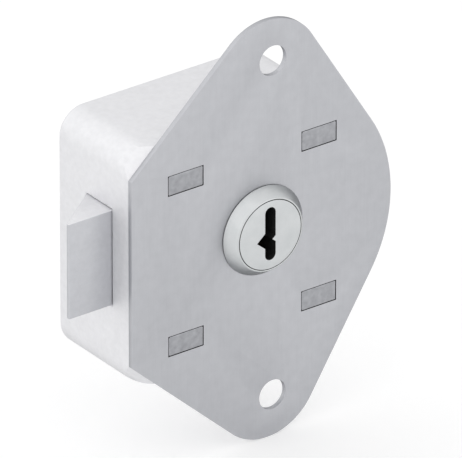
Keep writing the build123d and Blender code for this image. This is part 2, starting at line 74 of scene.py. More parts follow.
# The camera stands far off with a long lens, because the lock is drawn without perspective: parallel edges
# stay parallel. It looks down from the left, and the picture is 97.3 mm wide at the lock.
camera_azimuth = math.radians(-36.2)
camera_elevation = math.radians(27.7)
picture_width = 0.0973
picture_right = 0.00879
picture_up = 0.00012
lens, sensor = 1200, 36
toward_camera = Vector(
    (
        math.sin(camera_azimuth) * math.cos(camera_elevation),
        -math.cos(camera_azimuth) * math.cos(camera_elevation),
        math.sin(camera_elevation),
    )
)
camera_turn = (-toward_camera).to_track_quat("-Z", "Y")
looked_at = camera_turn @ Vector((-picture_right, -picture_up, 0))
bpy.ops.object.camera_add(location=looked_at + toward_camera * picture_width * lens / sensor)
camera = bpy.context.active_object
camera.rotation_mode = "QUATERNION"
camera.rotation_quaternion = camera_turn
camera.data.lens = lens
camera.data.sensor_width = sensor
camera.data.clip_end = 100
bpy.context.scene.camera = camera
bpy.context.scene.view_settings.view_transform = "Standard"


# The studio: a wide pale floor just under the plate's lower tip, a white surround, and three large soft
# lamps. The lamp over the left shoulder is the strongest, so the case's left side and top are paler than
# the plate.
def add_node(material, kind, **values):
    """A shader node of one kind, with its inputs set by name."""
    node = material.node_tree.nodes.new(kind)
    for name, value in values.items():
        node.inputs[name.replace("_", " ")].default_value = value
    return node


def white_to_eyes(tree_owner):
    """A socket that is 1 for what camera, mirrors and glass see, and 0 for the light on the lock."""
    path = add_node(tree_owner, "ShaderNodeLightPath")
    seen = path.outputs["Is Camera Ray"]
    for ray in ("Is Glossy Ray", "Is Transmission Ray"):
        both = add_node(tree_owner, "ShaderNodeMath")
        both.operation = "MAXIMUM"
        tree_owner.node_tree.links.new(seen, both.inputs[0])
        tree_owner.node_tree.links.new(path.outputs[ray], both.inputs[1])
        seen = both.outputs[0]
    return seen


surround_level = 0.86
world = bpy.data.worlds.new("studio_surround")
world.use_nodes = True
bpy.context.scene.world = world
surround = world.node_tree.nodes["Background"]
surround.inputs["Color"].default_value = (1, 1, 1, 1)
surround_strength = add_node(world, "ShaderNodeMapRange", To_Min=surround_level, To_Max=1.0)
world.node_tree.links.new(white_to_eyes(world), surround_strength.inputs["Value"])
world.node_tree.links.new(surround_strength.outputs["Result"], surround.inputs["Strength"])

floor_width = 12
floor_grey, floor_glow = 0.74, 0.34
bpy.ops.mesh.primitive_plane_add(size=floor_width, location=(0, 0, cad_box[0].z))
floor = bpy.context.active_object
floor.name = "studio_floor"
floor_finish = bpy.data.materials.new("white_floor")
floor_finish.use_nodes = True
paper = floor_finish.node_tree.nodes["Principled BSDF"]
paper.inputs["Base Color"].default_value = (floor_grey, floor_grey, floor_grey, 1)
paper.inputs["Roughness"].default_value = 0.9
paper.inputs["Specular IOR Level"].default_value = 0.0
paper.inputs["Emission Color"].default_value = (1, 1, 1, 1)
glow = add_node(floor_finish, "ShaderNodeMapRange", To_Min=0.0, To_Max=floor_glow)
floor_finish.node_tree.links.new(white_to_eyes(floor_finish), glow.inputs["Value"])
floor_finish.node_tree.links.new(glow.outputs["Result"], paper.inputs["Emission Strength"])
floor.data.materials.append(floor_finish)

# Each lamp's place and size in metres, and its power in watts.
lamps = {
    "shoulder_lamp": ((-1.2, -0.1, 1.1), 3.0, 4.8),
    "front_lamp": ((0.5, -1.4, 0.2), 1.5, 2.2),
    "back_lamp": ((-0.5, 1.4, 0.6), 1.5, 1.3),
}
for lamp_name, (lamp_place, lamp_size, lamp_power) in lamps.items():
    bpy.ops.object.light_add(type="AREA", location=lamp_place)
    lamp = bpy.context.active_object
    lamp.name = lamp_name
    lamp.data.size = lamp_size
    lamp.data.energy = lamp_power
    lamp.rotation_mode = "QUATERNION"
    lamp.rotation_quaternion = (-Vector(lamp_place)).to_track_quat("-Z", "Y")


# Case: a box die-cast in zinc alloy with thin walls, a window for the latch in its left wall, and four posts
# whose ends stand through the plate and are staked flush with its face. Its skin is pale, satin and faintly
# grained by the die; the staked ends are worked darker. The seam round each is painted near black: painted
# shade in the gap, with some oil and dust.
MM = 0.001
past, bite = 1.0, 0.4  # how far a cutter reaches past its work, and a joined block into its neighbour
near, hair = 0.05, 0.01  # how close a test looks, and the least gap between two faces
Solid = namedtuple("Solid", "left right front back bottom top x y z")


def solid(node):
    """The sides of a solid of the frame and its middle's x, y and z, in millimetres to a thousandth."""
    low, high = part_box(node)
    sides = [side for both in zip(low, high) for side in both]
    middle = (low + high) / 2
    return Solid(*(round(place / MM, 3) for place in (*sides, *middle)))


def settle(name):
    """Names the new primitive and puts its place, turn and size into its mesh."""
    made = bpy.context.active_object
    made.name = name
    bpy.ops.object.transform_apply(location=True, rotation=True, scale=True)
    return made


def block(name, left, right, front, back, bottom, top):
    """A cube primitive stretched between its six sides, in millimetres."""
    bpy.ops.object.select_all(action="DESELECT")
    bpy.ops.mesh.primitive_cube_add(
        size=MM,
        location=((left + right) / 2 * MM, (front + back) / 2 * MM, (bottom + top) / 2 * MM),
        scale=(right - left, back - front, top - bottom),
    )
    return settle(name)


def bar(name, x, z, radius, front, back, sides=96):
    """A cylinder primitive along Y, in millimetres."""
    bpy.ops.object.select_all(action="DESELECT")
    bpy.ops.mesh.primitive_cylinder_add(
        vertices=sides,
        radius=radius * MM,
        depth=(back - front) * MM,
        location=(x * MM, (front + back) / 2 * MM, z * MM),
        rotation=(math.pi / 2, 0, 0),
    )
    return settle(name)


def rod(name, y, z, radius, left, right, sides=64):
    """A cylinder primitive along X, in millimetres."""
    bpy.ops.object.select_all(action="DESELECT")
    bpy.ops.mesh.primitive_cylinder_add(
        vertices=sides,
        radius=radius * MM,
        depth=(right - left) * MM,
        location=((left + right) / 2 * MM, y * MM, z * MM),
        rotation=(0, math.pi / 2, 0),
    )
    return settle(name)


def work_on(piece):
    """Leaves only this piece selected, and makes it the active one."""
    bpy.ops.object.select_all(action="DESELECT")
    bpy.context.view_layer.objects.active = piece
    piece.select_set(True)


def combine(piece, how, *tools):
    """Cuts the tools out of a piece, or adds them to it, and removes them."""
    for tool in tools:
        work_on(piece)
        step = piece.modifiers.new(how, "BOOLEAN")
        step.operation = how
        step.solver = "EXACT"
        step.object = tool
        bpy.ops.object.modifier_apply(modifier=step.name)
        bpy.data.objects.remove(tool)
    return piece


def trim(piece, point, away, drop=True):
    """Cuts a piece with a plane through a point in millimetres, and drops the side that the normal points to.

    With drop off, the cut only leaves a ring of edges, and nothing goes."""
    work_on(piece)
    bpy.ops.object.mode_set(mode="EDIT")
    bpy.ops.mesh.select_all(action="SELECT")
    normal = Vector(away).normalized()
    bpy.ops.mesh.bisect(
        plane_co=Vector(point) * MM, plane_no=normal, use_fill=drop, clear_outer=drop, threshold=1e-7
    )
    bpy.ops.object.mode_set(mode="OBJECT")
    return piece


def round_edges(piece, size, segments, chosen=None, sharper_than=35):
    """Bevels a piece's sharp edges, or those of them whose two ends in millimetres pass the test."""
    work_on(piece)
    bpy.ops.object.mode_set(mode="EDIT")
    bpy.ops.mesh.select_mode(type="EDGE")
    bpy.ops.mesh.select_all(action="DESELECT")
    shape = bmesh.from_edit_mesh(piece.data)
    for edge in shape.edges:
        sharp = len(edge.link_faces) == 2 and edge.calc_face_angle() > math.radians(sharper_than)
        ends = [vertex.co / MM for vertex in edge.verts]
        edge.select_set(sharp and (chosen is None or chosen(*ends)))
    bmesh.update_edit_mesh(piece.data)
    bpy.ops.mesh.bevel(offset=size * MM, segments=segments, affect="EDGES", clamp_overlap=True)
    bpy.ops.object.mode_set(mode="OBJECT")
    return piece


def front_to_back(a, b):
    """Whether an edge runs from front to back."""
    return abs(a.y - b.y) > 1


def close_up(piece, smooth_under=30):
    """Merges doubled points, turns every face outward and shades the piece, sharp edges left sharp."""
    work_on(piece)
    bpy.ops.object.mode_set(mode="EDIT")
    bpy.ops.mesh.select_all(action="SELECT")
    bpy.ops.mesh.remove_doubles(threshold=2e-6)
    bpy.ops.mesh.normals_make_consistent(inside=False)
    bpy.ops.object.mode_set(mode="OBJECT")
    bpy.ops.object.shade_smooth_by_angle(angle=math.radians(smooth_under))
    return piece


def coat(piece, *finishes):
    """Gives a piece its materials, numbered from 0 in their order."""
    for finish in finishes:
        piece.data.materials.append(finish)


def drawn(red, green, blue):
    """A colour of the drawing, 0 to 255, as Blender's linear light."""
    levels = (part / 255 for part in (red, green, blue))
    return (*(v / 12.92 if v <= 0.04 else ((v + 0.055) / 1.055) ** 2.4 for v in levels), 1.0)


def metal(name, colour, roughness, metallic=1.0, edge=1.0):
    """A metal's material, before its grain. An edge level under 1 dulls its glancing reflections."""
    finish = bpy.data.materials.new(name)
    finish.use_nodes = True
    shader = finish.node_tree.nodes["Principled BSDF"]
    shader.inputs["Base Color"].default_value = colour
    shader.inputs["Roughness"].default_value = roughness
    shader.inputs["Metallic"].default_value = metallic
    shader.inputs["Specular Tint"].default_value = (edge, edge, edge, 1)
    return finish


def noise(finish, scale, stretch=(1, 1, 1), detail=3.0):
    """Noise on Object coordinates, stretched along the axes, as a socket from 0 to 1."""
    links = finish.node_tree.links
    place = add_node(finish, "ShaderNodeTexCoord")
    spread = add_node(finish, "ShaderNodeMapping", Scale=stretch)
    pattern = add_node(finish, "ShaderNodeTexNoise", Scale=scale, Detail=detail)
    links.new(place.outputs["Object"], spread.inputs["Vector"])
    links.new(spread.outputs["Vector"], pattern.inputs["Vector"])
    return pattern.outputs["Fac"]


noise_low, noise_high = 0.3, 0.7  # between which nearly all of a noise lies


def tint(finish, pattern, dark, light):
    """Lets a pattern shift the base colour between two tones."""
    links = finish.node_tree.links
    ramp = finish.node_tree.nodes.new("ShaderNodeValToRGB")
    ramp.color_ramp.elements[0].position = noise_low
    ramp.color_ramp.elements[0].color = dark
    ramp.color_ramp.elements[1].position = noise_high
    ramp.color_ramp.elements[1].color = light
    links.new(pattern, ramp.inputs["Fac"])
    links.new(ramp.outputs["Color"], finish.node_tree.nodes["Principled BSDF"].inputs["Base Color"])


def gloss(finish, pattern, least, most):
    """Lets a pattern shift the roughness between two values."""
    links = finish.node_tree.links
    spread = add_node(
        finish, "ShaderNodeMapRange", From_Min=noise_low, From_Max=noise_high, To_Min=least, To_Max=most
    )
    links.new(pattern, spread.inputs["Value"])
    links.new(spread.outputs["Result"], finish.node_tree.nodes["Principled BSDF"].inputs["Roughness"])


def relief(finish, pattern, strength, height):
    """Adds a pattern to the surface's fine relief, its height in millimetres."""
    tree = finish.node_tree
    bump = add_node(finish, "ShaderNodeBump", Strength=strength, Distance=height * MM)
    normal = tree.nodes["Principled BSDF"].inputs["Normal"]
    if normal.is_linked:
        tree.links.new(normal.links[0].from_socket, bump.inputs["Normal"])
    tree.links.new(pattern, bump.inputs["Height"])
    tree.links.new(bump.outputs["Normal"], normal)


cast_zinc = metal("cast_zinc", drawn(239, 239, 241), 0.64, edge=0.25)
tint(cast_zinc, noise(cast_zinc, 700, detail=5.0), drawn(237, 237, 239), drawn(242, 242, 244))
gloss(cast_zinc, noise(cast_zinc, 900), 0.6, 0.68)
relief(cast_zinc, noise(cast_zinc, 1800, detail=4.0), 0.25, 0.015)

staked_zinc = metal("staked_zinc", drawn(168, 169, 173), 0.45)
tint(staked_zinc, noise(staked_zinc, 700), drawn(158, 159, 163), drawn(176, 177, 181))
gloss(staked_zinc, noise(staked_zinc, 1200), 0.38, 0.55)
relief(staked_zinc, noise(staked_zinc, 900, detail=5.0), 0.4, 0.05)

# The near-black for the narrow gaps between parts: painted shade in each gap, with some oil and dust.
seam_dirt_and_shade = metal("seam_dirt_and_shade", drawn(50, 50, 52), 0.7, 0.3)
tint(seam_dirt_and_shade, noise(seam_dirt_and_shade, 1500), drawn(40, 40, 42), drawn(60, 60, 62))
seam_depth = 0.05

# The case's walls, corners and marks, in millimetres as all sizes of the pieces.
case_solid, plate_solid = solid("case"), solid("mounting_plate")
case_left, case_right, case_half_height = case_solid.left, case_solid.right, case_solid.top
case_front, case_back = plate_solid.back, case_solid.back
case_corner, case_edge, case_wall = 6.2, 0.8, 1.6
inner_left, inner_right, case_floor = case_left + case_wall, case_right - case_wall, case_back - case_wall
plate_corner = Vector((plate_solid.left, 22.0))
slope_out = Vector((-0.6765, 0.7364))  # square to the plate's upper left edge
blend_radius, blend_depth, blend_steps, blend_ring = 6.0, 2.0, 9, 0.2
pin_mark_radius, pin_mark_depth, pin_mark_edge = 2.4, 0.12, 0.02
pin_mark_places = [(-29, 20.5), (10, 20.5), (-29, -20.5), (10, -20.5), (-9.7, 0)]

# The lugs stand above the upper guide rod and below the lower one, and the saddle wall between the right two.
rod_solids = [solid("guide_rod_upper"), solid("guide_rod_lower")]
rod_depth, rod_heights = rod_solids[0].y, [rod_solid.z for rod_solid in rod_solids]
lug_half_width, lug_half_height, lug_edge, post_step = 4.5, 2.3, 0.27, 0.5
lug_inset, lug_pitch, lug_rise, lug_drop = 0.6, 34.7, 5.3, 7.9
right_lug_x = case_right - lug_inset - lug_half_width
upper_lug_z, lower_lug_z = rod_heights[0] + lug_rise, rod_heights[1] - lug_drop
lug_places = [(x, z) for z in (upper_lug_z, lower_lug_z) for x in (right_lug_x - lug_pitch, right_lug_x)]
saddle_room, saddle_thickness, saddle_front, saddle_slot = 1.6, 1.5, 12.0, 1.15
saddle_right = inner_right - saddle_room
saddle_left = saddle_right - saddle_thickness
saddle_bottom, saddle_top = lower_lug_z + lug_half_height, upper_lug_z - lug_half_height

# The window and its shelves lie round the latch's head. Two rails lie behind the carriage near its top and
# bottom, which the ears of the latch's tail stand past, and one behind the latch spring.
latch_solid, carriage_solid, latch_coil = solid("latch_bolt"), solid("carriage"), solid("latch_spring")
latch_front, latch_back, latch_bottom, latch_top = latch_solid.front, 16.2, latch_solid.bottom, 12.6
latch_play, root_gap, root_width = 0.15, 0.3, 3.0
latch_root = inner_left + root_gap + root_width
window_front, window_back, window_edge = latch_front - latch_play, latch_back + latch_play, 0.35
window_bottom, window_top = latch_bottom - latch_play, latch_top + latch_play
carriage_left, carriage_right, carriage_back = carriage_solid.left, carriage_solid.right, carriage_solid.back
carriage_travel, ear_overhang, flange_thickness, flange_play = 10.0, 0.8, 1.5, 0.2
carriage_bottom, carriage_top = -8.2, latch_solid.top - ear_overhang
coil_radius, rail_width, rail_right = 2.0, 1.5, carriage_right + carriage_travel
rail_front = carriage_back + flange_play
rail_places = [
    (rail_front, carriage_top - flange_thickness - rail_width),
    (rail_front, carriage_bottom + flange_thickness),
    (latch_coil.y + coil_radius + flange_play, latch_coil.z - rail_width / 2),
]

case = block("case_body", case_left, case_right, case_front, case_back, -case_half_height, case_half_height)
round_edges(case, case_corner, 14, front_to_back)
round_edges(case, case_edge, 4, lambda a, b: min(a.y, b.y) > case_back - near)
hollow = block(
    "hollow", inner_left, inner_right, 0, case_floor,
    case_wall - case_half_height, case_half_height - case_wall,
)
round_edges(hollow, case_corner - case_wall, 10, front_to_back)
# Where the plate's left corners are cut off, the case's front corners are rounded away in small flats, so
# that they don't stand past the plate. A ring of edges behind them keeps their shading off the plain sides.
blend_lean = math.acos(1 - blend_depth / blend_radius)
blend_back = case_front + blend_radius * math.sin(blend_lean)
for side in (1, -1):
    corner = Vector((plate_corner.x, 0, side * plate_corner.y))
    out = Vector((slope_out.x, 0, side * slope_out.y))
    centre = corner + out * (blend_depth - blend_radius) + Vector((0, blend_back, 0))
    for step in range(blend_steps):
        lean = blend_lean * (1 - step / blend_steps)
        away = out * math.cos(lean) - Vector((0, math.sin(lean), 0))
        trim(case, centre + away * blend_radius, away)
    trim(hollow, corner - out * case_wall, out)
trim(case, (0, blend_back + blend_ring, 0), (0, 1, 0), drop=False)
combine(case, "DIFFERENCE", hollow)

# Inside stand the lugs' posts, a shelf above and below the latch, three rails behind the carriage, and the
# saddle wall with its slots for the guide rods.
for x, z in lug_places:
    post_right = min(x + lug_half_width + post_step, case_right - case_wall / 2)
    post = block(
        "post", x - lug_half_width - post_step, post_right, case_front, case_floor + bite,
        z - lug_half_height - post_step, z + lug_half_height + post_step,
    )
    combine(case, "UNION", post)
shelf_sides = (case_left + case_wall / 2, latch_root, latch_front, latch_back)
for low in (window_top, window_bottom - case_wall):
    combine(case, "UNION", block("shelf", *shelf_sides, low, low + case_wall))
for front, low in rail_places:
    rail = block("rail", carriage_left, rail_right, front, case_floor + bite, low, low + rail_width)
    combine(case, "UNION", rail)
saddle = block(
    "saddle", saddle_left, saddle_right, saddle_front, case_floor + bite, saddle_bottom, saddle_top
)
saddle_cut = (saddle_left - past, saddle_right + past)
for rod_z in rod_heights:
    slot = block(
        "slot", *saddle_cut, saddle_front - past, rod_depth, rod_z - saddle_slot, rod_z + saddle_slot
    )
    slot_end = rod("slot_end", rod_depth, rod_z, saddle_slot, *saddle_cut, 48)
    combine(saddle, "DIFFERENCE", slot, slot_end)
combine(case, "UNION", saddle)
latch_window = block(
    "window", case_left - past, inner_left, window_front, window_back, window_bottom, window_top
)
combine(case, "DIFFERENCE", latch_window)


def on_window_rim(a, b):
    """Whether an edge lies round the latch's window, on the outside of the left wall."""
    return all(
        end.x < case_left + hair
        and window_front - near < end.y < window_back + near
        and window_bottom - near < end.z < window_top + near
        for end in (a, b)
    )


round_edges(case, window_edge, 3, on_window_rim)
# The die's ejector pins leave round marks on the back. In front the lugs go through the plate's windows.
for x, z in pin_mark_places:
    pin_mark = bar("pin_mark", x, z, pin_mark_radius, case_back - pin_mark_depth, case_back + past, 48)
    combine(case, "DIFFERENCE", round_edges(pin_mark, pin_mark_edge, 1))
for x, z in lug_places:
    lug = block(
        "lug", x - lug_half_width, x + lug_half_width, 0, case_front + bite,
        z - lug_half_height, z + lug_half_height,
    )
    round_edges(lug, lug_edge, 4, lambda a, b: min(a.y, b.y) < near or front_to_back(a, b))
    combine(case, "UNION", lug)
close_up(case)
coat(case, cast_zinc, staked_zinc, seam_dirt_and_shade)
# The faces beside the staked ends, in the gap round each, take the near-black: painted shade with some dirt.
for face in case.data.polygons:
    depth = face.center.y / MM
    beside_lug = seam_depth < depth < case_front and abs(face.normal.y) < 0.95
    on_lug = depth < case_front / 2
    face.material_index = 2 if beside_lug else 1 if on_lug else 0
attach(case, "housing")
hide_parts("case")

# Mounting plate: blanked from sheet steel and zinc plated, grey and matte with the rolling grain upright. The
# punch leaves its edges a little rounded. It is held by the case's staked posts.
plug_solid = solid("plug")
plate_thickness, plate_edge = plate_solid.back, 0.22
tip_x, tip_z, tip_radius = -1.4, 36.0, 13.5
side_radius, side_cut, left_strip = 34.0, 24.0, 5
side_x = plate_solid.right - side_radius
screw_height, screw_radius = 39.7, 3.45
barrel_x, barrel_z = plug_solid.x, plug_solid.z
barrel_hole_radius, barrel_hole_flat = 8.75, 8.05
window_play = 0.1


def wrap(*parts):
    """Joins some convex parts and pulls one skin tight around them."""
    bpy.ops.object.select_all(action="DESELECT")
    for part in parts:
        part.select_set(True)
    bpy.context.view_layer.objects.active = parts[0]
    bpy.ops.object.join()
    bpy.ops.object.mode_set(mode="EDIT")
    bpy.ops.mesh.select_all(action="SELECT")
    bpy.ops.mesh.convex_hull()
    bpy.ops.mesh.select_all(action="SELECT")
    bpy.ops.mesh.dissolve_limited(angle_limit=math.radians(0.05))
    bpy.ops.object.mode_set(mode="OBJECT")
    return parts[0]


def core_bar(name, radius, front, back, sides=96):
    """A cylinder primitive on the key cylinder's axis."""
    return bar(name, barrel_x, barrel_z, radius, front, back, sides)


def flatten(piece, half_width):
    """Cuts a round piece on the key cylinder's axis flat on its left and its right."""
    for side in (1, -1):
        trim(piece, (barrel_x + side * half_width, 0, 0), (side, 0, 0))
    return piece


right_side = bar("right_side", side_x, 0, side_radius, 0, plate_thickness, 400)
plate = wrap(
    bar("mounting_plate_blank", tip_x, tip_z, tip_radius, 0, plate_thickness, 160),
    bar("lower_tip", tip_x, -tip_z, tip_radius, 0, plate_thickness, 160),
    trim(right_side, (side_cut, 0, 0), (-1, 0, 0)),
    block(
        "left_edge", plate_corner.x, plate_corner.x + left_strip, 0, plate_thickness,
        -plate_corner.y, plate_corner.y,
    ),
)
plate_cut = (-past, plate_thickness + past)
for hole_z in (screw_height, -screw_height):
    combine(plate, "DIFFERENCE", bar("screw_hole", 0, hole_z, screw_radius, *plate_cut))
for x, z in lug_places:
    lug_window = block(
        "lug_window", x - lug_half_width - window_play, x + lug_half_width + window_play, *plate_cut,
        z - lug_half_height - window_play, z + lug_half_height + window_play,
    )
    combine(plate, "DIFFERENCE", lug_window)
barrel_hole = flatten(core_bar("barrel_hole", barrel_hole_radius, *plate_cut), barrel_hole_flat)
combine(plate, "DIFFERENCE", barrel_hole)
round_edges(plate, plate_edge, 3)
close_up(plate)

plated_sheet = metal("plated_sheet", drawn(191, 192, 196), 0.42, edge=0.25)
tint(plated_sheet, noise(plated_sheet, 420, detail=5.0), drawn(189, 190, 194), drawn(194, 195, 199))
gloss(plated_sheet, noise(plated_sheet, 2400, (1, 1, 0.04)), 0.4, 0.48)
relief(plated_sheet, noise(plated_sheet, 2600, (1, 1, 0.03)), 0.12, 0.01)
relief(plated_sheet, noise(plated_sheet, 60), 0.05, 0.1)
coat(plate, plated_sheet, seam_dirt_and_shade)
# The walls of the lug windows take the near-black: painted shade in the gap round each lug, with some dirt.
for face in plate.data.polygons:
    across, up, depth = face.center.x / MM, face.center.z / MM, face.center.y / MM
    in_window = any(
        abs(across - x) < lug_half_width + 2 * window_play and abs(up - z) < lug_half_height + 2 * window_play
        for x, z in lug_places
    )
    face.material_index = 1 if in_window and seam_depth < depth < plate_thickness - plate_edge else 0
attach(plate, "housing")
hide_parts("mounting_plate")

# Cylinder shell: turned and nickel plated, with a conical nose that stands out of the plate. Its barrel
# has two flats that keep it from turning, a groove for the clip, broached grooves for the wafers and a
# stop for the cam.
shell_solid, clip_solid = solid("cylinder_shell"), solid("shell_clip")
nose_front, nose_edge, nose_back_edge = shell_solid.front, 0.2, 0.3
nose_base_radius, nose_face_radius = shell_solid.right - barrel_x, 8.4
bore_radius, mouth_radius, mouth_floor = 7.15, 8.1, -0.95
barrel_front, barrel_radius, barrel_flat = -0.5, 8.7, 8.0
stop_back, stop_length = shell_solid.back, 1.5
shell_back = stop_back - stop_length
clip_play, clip_groove_radius = 0.05, 7.75
clip_groove_front, clip_groove_back = clip_solid.front - clip_play, clip_solid.back + clip_play
broach_front, broach_radius, broach_half = 3.0, 8.0, 3.16
stop_room_size, stop_room_drop = 24, 3.818
seam_width, rim_seam = 0.13, 0.5


def on_nose_face(a, b):
    """Whether an edge lies on the front of the nose."""
    return max(a.y, b.y) < nose_front + hair


# The nose starts as a disc, and its front face is drawn in to make the cone.
shell = core_bar("cylinder_nose_and_barrel", nose_base_radius, nose_front, 0, 160)
bpy.ops.object.mode_set(mode="EDIT")
bpy.ops.mesh.select_all(action="DESELECT")
bpy.ops.mesh.select_mode(type="FACE")
nose = bmesh.from_edit_mesh(shell.data)
for face in nose.faces:
    face.select_set(face.normal.y < -0.9)
bmesh.update_edit_mesh(shell.data)
nose_taper = nose_face_radius / nose_base_radius
bpy.ops.transform.resize(value=(nose_taper, 1, nose_taper), center_override=(barrel_x * MM, 0, barrel_z * MM))
bpy.ops.object.mode_set(mode="OBJECT")
round_edges(shell, nose_back_edge, 3, lambda a, b: min(a.y, b.y) > -hair)
combine(shell, "UNION", flatten(core_bar("barrel", barrel_radius, barrel_front, stop_back, 160), barrel_flat))
combine(shell, "DIFFERENCE", core_bar("bore", bore_radius, nose_front - past, stop_back + past, 128))
combine(shell, "DIFFERENCE", core_bar("mouth", mouth_radius, nose_front - past, mouth_floor, 128))
clip_groove = core_bar("clip_groove", barrel_radius + past, clip_groove_front, clip_groove_back)
groove_floor = core_bar("groove_floor", clip_groove_radius, clip_groove_front - past, clip_groove_back + past)
combine(clip_groove, "DIFFERENCE", groove_floor)
broach = flatten(core_bar("broach", broach_radius, broach_front, shell_back), broach_half)
# The barrel's last stretch is open at the top, where the cam's arm swings from one stop to the other.
stop_room = block("stop_room", 0, stop_room_size, shell_back, stop_back + past, 0, stop_room_size)
stop_room.data.transform(Matrix.Rotation(-math.pi / 4, 4, "Y"))
stop_room.data.transform(Matrix.Translation(Vector((barrel_x, 0, barrel_z - stop_room_drop)) * MM))
combine(shell, "DIFFERENCE", clip_groove, broach, stop_room)
round_edges(shell, nose_edge, 4, on_nose_face)
close_up(shell)


def turning_marks(finish, scale):
    """Noise that changes only with the distance from the key cylinder's axis, as a lathe leaves it."""
    links = finish.node_tree.links
    place = add_node(finish, "ShaderNodeTexCoord")
    centred = add_node(
        finish, "ShaderNodeMapping", Location=(-barrel_x * MM, 0, -barrel_z * MM), Scale=(1, 0, 1)
    )
    distance = add_node(finish, "ShaderNodeVectorMath")
    distance.operation = "LENGTH"
    rings = finish.node_tree.nodes.new("ShaderNodeTexNoise")
    rings.noise_dimensions = "1D"
    rings.inputs["Scale"].default_value = scale
    rings.inputs["Detail"].default_value = 3.0
    links.new(place.outputs["Object"], centred.inputs["Vector"])
    links.new(centred.outputs["Vector"], distance.inputs[0])
    links.new(distance.outputs["Value"], rings.inputs["W"])
    return rings.outputs["Fac"]


satin_nickel = metal("satin_nickel", drawn(208, 211, 212), 0.34, edge=0.4)
tint(satin_nickel, noise(satin_nickel, 300), drawn(204, 207, 208), drawn(213, 215, 216))
gloss(satin_nickel, turning_marks(satin_nickel, 5000), 0.32, 0.45)
relief(satin_nickel, turning_marks(satin_nickel, 7000), 0.2, 0.02)
coat(shell, satin_nickel, seam_dirt_and_shade)
# The mouth's wall round the plug's head and the nose's back edge against the plate take the near-black:
# painted shade in these gaps, with some dirt.
for face in shell.data.polygons:
    from_axis = math.hypot(face.center.x / MM - barrel_x, face.center.z / MM - barrel_z)
    depth = face.center.y / MM
    in_mouth = from_axis < mouth_radius + seam_width and nose_front + seam_depth < depth < mouth_floor
    under_nose = from_axis > nose_base_radius - rim_seam and face.normal.y > 0.2
    face.material_index = 1 if in_mouth or under_nose else 0
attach(shell, "housing")
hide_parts("cylinder_shell")

# Shell clip: a horseshoe stamped from spring steel, 1.1 mm thick. It slides into the barrel's groove from
# above and holds the nose against the plate.
clip_front, clip_back, clip_edge = clip_solid.front, clip_solid.back, 0.12
clip_bore, clip_rim = 7.8, clip_solid.top - barrel_z
clip_cut = (clip_front - past, clip_back + past)
clip = core_bar("horseshoe_clip", clip_rim, clip_front, clip_back, 128)
clip_mouth = block(
    "clip_mouth", barrel_x - clip_bore + hair, barrel_x + clip_bore - hair, *clip_cut,
    barrel_z - clip_rim - past, barrel_z,
)
combine(clip, "DIFFERENCE", core_bar("clip_bore", clip_bore, *clip_cut, 128), clip_mouth)
round_edges(clip, clip_edge, 2)
close_up(clip)

spring_steel = metal("spring_steel", drawn(118, 119, 122), 0.3)
tint(spring_steel, noise(spring_steel, 1600, detail=5.0), drawn(112, 113, 116), drawn(124, 125, 128))
gloss(spring_steel, noise(spring_steel, 2200), 0.26, 0.36)
relief(spring_steel, noise(spring_steel, 3500), 0.1, 0.01)
coat(clip, spring_steel)
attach(clip, "housing")
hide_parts("shell_clip")

# Plug: turned and nickel plated like the shell it turns in, with a broad head, the warded keyway through
# it, a slot and a spring pocket for each wafer, and a flatted tail for the cam. The keyway's walls are
# painted near black: painted shade in the deep slot, with some oil.
cam_solid, screw_solid, wafer_spring_solid = solid("cam"), solid("cam_screw"), solid("wafer_spring_1")
wafer_solids = [solid(f"wafer_{number}") for number in range(1, 6)]
head_radius, head_back, head_edge = plug_solid.right - barrel_x, -1.0, 0.18
core_radius, core_back = 7.1, cam_solid.front
plug_tail_radius, plug_tail_flat, plug_tail_back = 3.0, 2.2, plug_solid.back
keyway_half, keyway_top, keyway_bottom, keyway_end = 1.375, 6.55, -5.95, 13.6
keyway_start, keyway_round = -4.0, 0.999 * keyway_half  # the two roundings of an end don't meet
keyway_reach = keyway_top + 0.15
ward_z, ward_reach, ward_half, ward_root = -1.15, 3.475, 1.8, 1.0
rib_inner, rib_half = 0.515, 0.7
wafer_depths = [wafer_solid.y for wafer_solid in wafer_solids]
wafer_thickness, wafer_play = wafer_solids[0].back - wafer_solids[0].front, 0.08
wafer_half, wafer_lug = barrel_x - wafer_solids[0].left, wafer_solids[0].right - barrel_x
pocket_x, pocket_radius = wafer_spring_solid.x - barrel_x, 0.85
pocket_floor, pocket_length = -4.45, 12
shank_front, shank_radius, shank_play = screw_solid.front, 1.5, 0.02
plug = core_bar("plug_head_and_core", head_radius, nose_front, head_back, 160)
round_edges(plug, head_edge, 3, on_nose_face)
combine(plug, "UNION", core_bar("core", core_radius, head_back - bite, core_back, 128))
plug_tail = core_bar("plug_tail", plug_tail_radius, core_back - bite, plug_tail_back, 64)
combine(plug, "UNION", flatten(plug_tail, plug_tail_flat))

# The keyway has round ends, a pointed ward on the left, and a rib that stands into it from the right.
keyway = block(
    "keyway", barrel_x - keyway_half, barrel_x + keyway_half, keyway_start, keyway_end,
    barrel_z + keyway_bottom, barrel_z + keyway_top,
)
round_edges(keyway, keyway_round, 12, front_to_back)
ward_height = barrel_z + ward_z
ward = block(
    "ward", barrel_x - ward_reach, barrel_x - ward_root, keyway_start - bite, keyway_end - hair,
    ward_height - ward_half - past, ward_height + ward_half + past,
)
rib = block(
    "rib", barrel_x + rib_inner, barrel_x + keyway_half + past, keyway_start - past, keyway_end + past,
    ward_height - rib_half - past, ward_height + rib_half + past,
)
for side in (1, -1):
    trim(ward, (barrel_x - ward_reach, 0, ward_height), (-ward_half, 0, side * (ward_reach - keyway_half)))
    trim(rib, (barrel_x + rib_inner, 0, ward_height), (-rib_half, 0, side * (keyway_half - rib_inner)))
combine(keyway, "UNION", ward)
combine(keyway, "DIFFERENCE", rib)
combine(plug, "DIFFERENCE", keyway)

